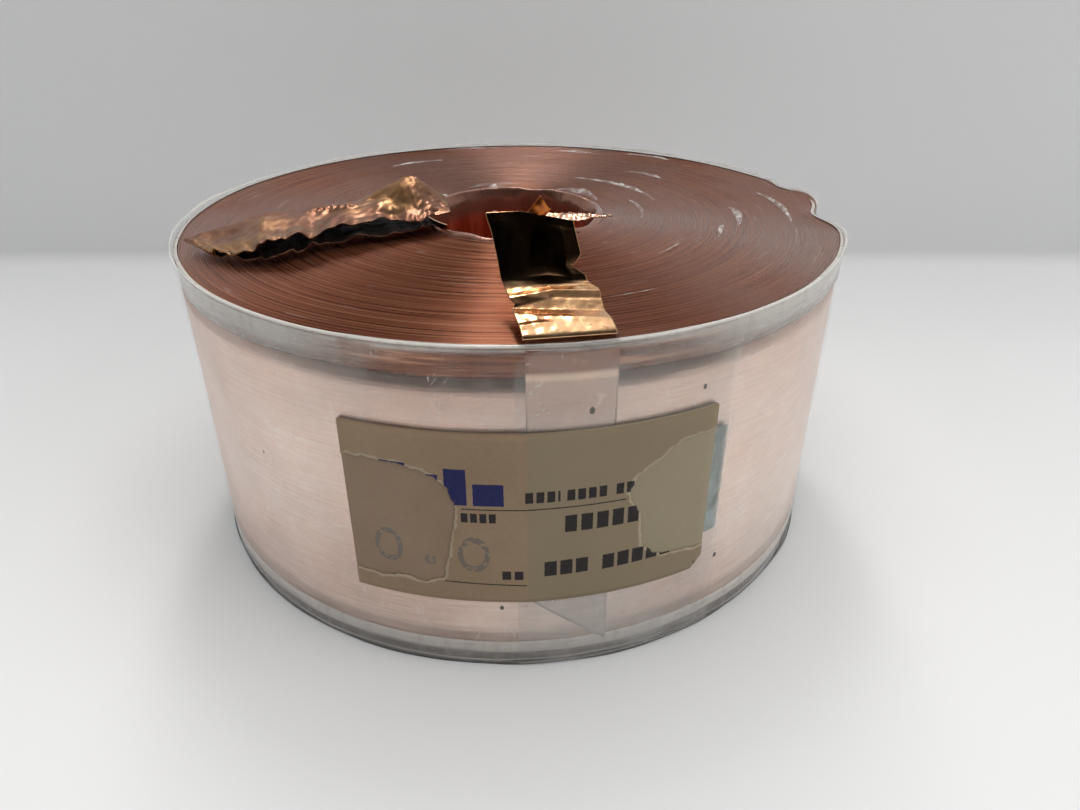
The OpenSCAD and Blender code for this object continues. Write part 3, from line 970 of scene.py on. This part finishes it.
def innerLead(spec):
    near = [Vector(p) for p in (*spec["lowerNear"], spec["foldNear"], *spec["upperNear"])]
    far = [Vector(p) for p in (*spec["lowerFar"], spec["foldFar"], *spec["upperFar"])]

    def detail(p, s, t):
        lift = 0
        if s < 0.5:
            lift = -0.8 * spec["crumple"] * abs(facets(s * 60, t * 12, spec["seed"]))
        for ds, dt in spec["dimples"]:
            d = math.hypot((s - ds) * 78, (t - dt) * 12)
            lift += 0.3 * math.exp(-((d - 0.42) / 0.16) ** 2) - 0.25 * math.exp(-(d / 0.3) ** 2)
        if s > 0.52:
            calm = min(1, 5 * t, 5 * (1 - t), 8 * (1 - s)) * min(1, 12 * (s - 0.52))
            lift += 1.15 * calm * facets(s * 17, t * 2.6, 7.7)
        lift += 1.3 * facets(s * 62, 0.0, 3.3) * (1 - t) ** 2 * min(1, 6 * s, 6 * (1 - s))
        edge = 0.6 * noise.noise(Vector((s * 55, 0, 3.0))) * (1 - t) ** 3
        p = p + Vector((0, edge, lift))
        p.z = max(p.z, filmTop / mm + 0.22)
        return p

    piece = sheetBetween("innerLead", near, far, spec, finishes["leadDull"], detail, 0.49)
    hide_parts("inner_lead_tail", "inner_lead_return")
    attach(piece, "inner_lead")
    return piece


innerLead(innerLeadSpec)
print("leads done")

# The label in millimetres from its lower left corner; both plies share the outline
labelSpec = {"left": -18.8, "low": labelLow.z / mm, "wide": 45.0, "high": (labelHigh.z - labelLow.z) / mm,
    "corner": 1.6, "grid": 0.7, "ply": 0.12, "proud": 0.09, "bedded": 0.34,
    "tornLeft": ((-1, 19.5), (4.8, 19.7), (8.3, 19.3), (11.3, 18.3), (12.8, 16.5), (13.6, 14), (13, 10.5),
        (12.3, 6.5), (11.6, 3.5), (9.3, 2.5), (7, 3.1), (3.8, 2.5), (-1, 2.9)),
    "tornRight": ((46, 20.8), (40.3, 20.5), (37.8, 19), (34.6, 16.8), (33.8, 15), (34.2, 13.5),
        (35.3, 11.3), (35.8, 6.5), (37.3, 5), (38.8, 4.3), (42.8, 3.7), (46, 3.3))}


def inside(x, y, outline):
    within = False
    for (x0, y0), (x1, y1) in zip(outline, outline[1:] + outline[:1]):
        if (y0 > y) != (y1 > y) and x < x0 + (y - y0) / (y1 - y0) * (x1 - x0):
            within = not within
    return within


# Outline cut into short steps that wander like a torn edge
def raggedOutline(outline, step, amount, seed):
    result = []
    for (x0, y0), (x1, y1) in zip(outline, outline[1:] + outline[:1]):
        count = max(1, round(math.hypot(x1 - x0, y1 - y0) / step))
        for i in range(count):
            x, y = x0 + (x1 - x0) * i / count, y0 + (y1 - y0) * i / count
            shift = noise.noise_vector(Vector((x * 1.3, y * 1.3, seed))) + 0.5 * noise.noise_vector(
                Vector((x * 4, y * 4, seed)))
            result.append((x + shift.x * amount, y + shift.y * amount))
    return result


def nearest(x, y, outlines):
    best = 9.0
    for outline in outlines:
        for px, py in outline:
            best = min(best, math.hypot(px - x, py - y))
    return best


def labelPly(name, tears, proud, ply, finish, node):
    spec = labelSpec
    wide, high, cut = spec["wide"], spec["high"], spec["corner"]
    frameLine = [(0, 0), (wide - cut, 0), (wide, cut), (wide, high), (0, high)]
    sides = raggedOutline(frameLine, 0.7, 0.0, 0)
    points = list(sides)
    edges = [(i, (i + 1) % len(sides)) for i in range(len(sides))]
    for tear in tears:
        first = len(points)
        points += tear
        edges += [(first + i, first + (i + 1) % len(tear)) for i in range(len(tear))]
    for i in range(1, int(wide / spec["grid"])):
        for j in range(1, int(high / spec["grid"])):
            x, y = i * spec["grid"], j * spec["grid"]
            if nearest(x, y, tears) > 0.3:
                points.append((x, y))
    flat, _, faces, *_ = geometry.delaunay_2d_cdt([Vector(p) for p in points], edges, [], 0, 1e-5)
    kept = []
    for face in faces:
        x = sum(flat[i].x for i in face) / 3
        y = sum(flat[i].y for i in face) / 3
        if inside(x, y, frameLine) and not any(inside(x, y, tear) for tear in tears):
            kept.append(tuple(face))
    used = sorted({i for face in kept for i in face})
    order = {old: new for new, old in enumerate(used)}
    placed, torn = [], []
    for i in used:
        x, y = flat[i]
        away = nearest(x, y, tears) if tears else 9.0
        seam = 0.18 * math.exp(-abs(x - 21.6) / 3.5)
        curl = 0.08 * math.exp(-away / 0.5) + seam
        placed.append(onCoil(spec["left"] + x, spec["low"] + y, outerR + (proud + curl) * mm))
        torn.append(math.exp(-away / 0.35))
    piece = meshObject(name, placed, [tuple(order[i] for i in face) for face in kept], finish)
    layer = piece.data.uv_layers.new(name="label")
    for loop in piece.data.loops:
        layer.data[loop.index].uv = flat[used[loop.vertex_index]]
    attribute = piece.data.attributes.new("torn", "FLOAT", "POINT")
    attribute.data.foreach_set("value", torn)
    thicken(piece, ply * mm, 1.0)
    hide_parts(node)
    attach(piece, "coil")
    return piece


tears = [raggedOutline(list(labelSpec[side]), 0.35, 0.28, seed)
    for side, seed in (("tornLeft", 2.0), ("tornRight", 6.0))]
proud, ply, bedded = labelSpec["proud"], labelSpec["ply"], labelSpec["bedded"]
labelPly("labelBacking", [], proud - bedded, ply + bedded, finishes["labelBack"],
    "label_backing")
labelPly("labelFace", tears, proud + 0.075, ply, finishes["labelFace"], "label_face")


def curvedPatch(name, left, right, low, high, proud, finish):
    rows, columns = 24, 40
    points = []
    for i in range(rows + 1):
        z = low + (high - low) * i / rows
        for j in range(columns + 1):
            x = left + (right - left) * j / columns
            wander = 0.25 * noise.noise(Vector((0, z * 0.9, 5.0))) * (j == columns)
            points.append(onCoil(x + wander, z, outerR + proud * mm))
    piece = meshObject(name, points, gridFaces(rows + 1, columns + 1), finish)
    thicken(piece, 0.04 * mm)
    return piece


tapeLow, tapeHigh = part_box("seam_tape")
tape = curvedPatch("seamTape", 8.0, 28.4, tapeLow.z / mm, tapeHigh.z / mm, 0.055, finishes["tape"])
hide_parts("seam_tape")
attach(tape, "coil")
print("label and tape done")

for name, key in (("inner_lead_riser", "lead"), ("inner_lead_tape", "tape")):
    slots = nodes[name].data.materials
    slots.clear()
    slots.append(finishes[key].material)


# Floor, backdrop, lights and camera; the backdrop is clear from behind
def stageFinish(name, colour):
    f = Finish(name, Specular_IOR_Level=0.2)
    cloud = f.noise(f.place(), 6, 3)
    behind = f.add("ShaderNodeNewGeometry", out="Backfacing")
    f.set(Base_Color=f.ramp(cloud, [(0.3, tuple(c * 0.97 for c in colour)), (0.7, colour)]),
        Roughness=f.grade(cloud, 0.3, 0.7, 0.6, 0.7), Alpha=1 - behind)
    return f


stageSpec = {"wall": 0.105, "reach": 1.6, "height": 0.16, "cove": 0.004}


def stage(spec):
    line = [(-spec["reach"], 0)]
    for i in range(9):
        a = math.pi / 2 * i / 8
        line.append((spec["wall"] - spec["cove"] * (1 - math.sin(a)), spec["cove"] * (1 - math.cos(a))))
    line.append((spec["wall"], spec["height"]))
    points = [(x, y, z - 0.00005) for y, z in line for x in (-spec["reach"], spec["reach"])]
    faces = [(2 * i, 2 * i + 1, 2 * i + 3, 2 * i + 2) for i in range(len(line) - 1)]
    meshObject("studioFloor", points, faces, stageFinish("paleStage", (0.80, 0.81, 0.82)))


stage(stageSpec)

lightSpec = [
    ("overhead", (0.03, -0.12, 0.88), (0, 0, 0), 1.0, 1.0, 6.0, (1.0, 0.985, 0.965), False),
    ("window", (-0.06, 0.62, 0.62), (0, 0, 0), 0.12, 0.9, 4.5, (1.0, 0.97, 0.93), True),
    ("left", (-0.85, -0.30, 0.50), (0, 0, 0.02), 0.7, 0.6, 0.9, (0.97, 0.985, 1.0), False),
    ("right", (0.85, -0.30, 0.50), (0, 0, 0.02), 0.7, 0.6, 2.8, (1.0, 0.99, 0.97), False),
]
for name, place, aim, wide, deep, power, colour, glossy in lightSpec:
    data = bpy.data.lights.new(name, "AREA")
    data.shape = "RECTANGLE"
    data.size, data.size_y, data.energy, data.color = wide, deep, power, colour
    lamp = bpy.data.objects.new(name, data)
    lamp.location = place
    lamp.rotation_euler = (Vector(aim) - Vector(place)).to_track_quat("-Z", "Y").to_euler()
    lamp.visible_glossy = glossy
    bpy.context.scene.collection.objects.link(lamp)

# A soft pale room, dark high up in front where nothing lights it
world = bpy.data.worlds.new("room")
world.use_nodes = True
bpy.context.scene.world = world
room = Graph(world.node_tree)
split = room.add("ShaderNodeSeparateXYZ", None, {0: room.add("ShaderNodeTexCoord", out="Generated")})
toFront = split.out("Y") * -0.72 + split.out("Z") * 0.69
tone = room.ramp(toFront, [(0.0, (0.95, 0.95, 0.95)), (0.22, (0.80, 0.80, 0.80)), (0.5, (0.24, 0.24, 0.245)),
    (0.80, (0.012, 0.012, 0.012)), (1.0, (0.0, 0.0, 0.0))])
beside = room.grade(abs(split.out("X")), 0.06, 0.5)
tone = room.mix(beside * 0.5, tone, (0.0, 0.0, 0.0))
background = world.node_tree.nodes["Background"]
world.node_tree.links.new(tone.socket, background.inputs["Color"])
background.inputs["Strength"].default_value = 1.08
bpy.context.scene.view_settings.view_transform = "Standard"

cameraSpec = {"place": (4.40, -122.64, 80.91), "tilt": 60.36, "lens": 26.667}
cameraData = bpy.data.cameras.new("camera")
cameraData.lens = cameraSpec["lens"]
cameraData.sensor_width = 36
cameraData.clip_start = 0.005
camera = bpy.data.objects.new("camera", cameraData)
camera.location = Vector(cameraSpec["place"]) * mm
camera.rotation_euler = (math.radians(cameraSpec["tilt"]), 0, 0)
bpy.context.scene.collection.objects.link(camera)
bpy.context.scene.camera = camera
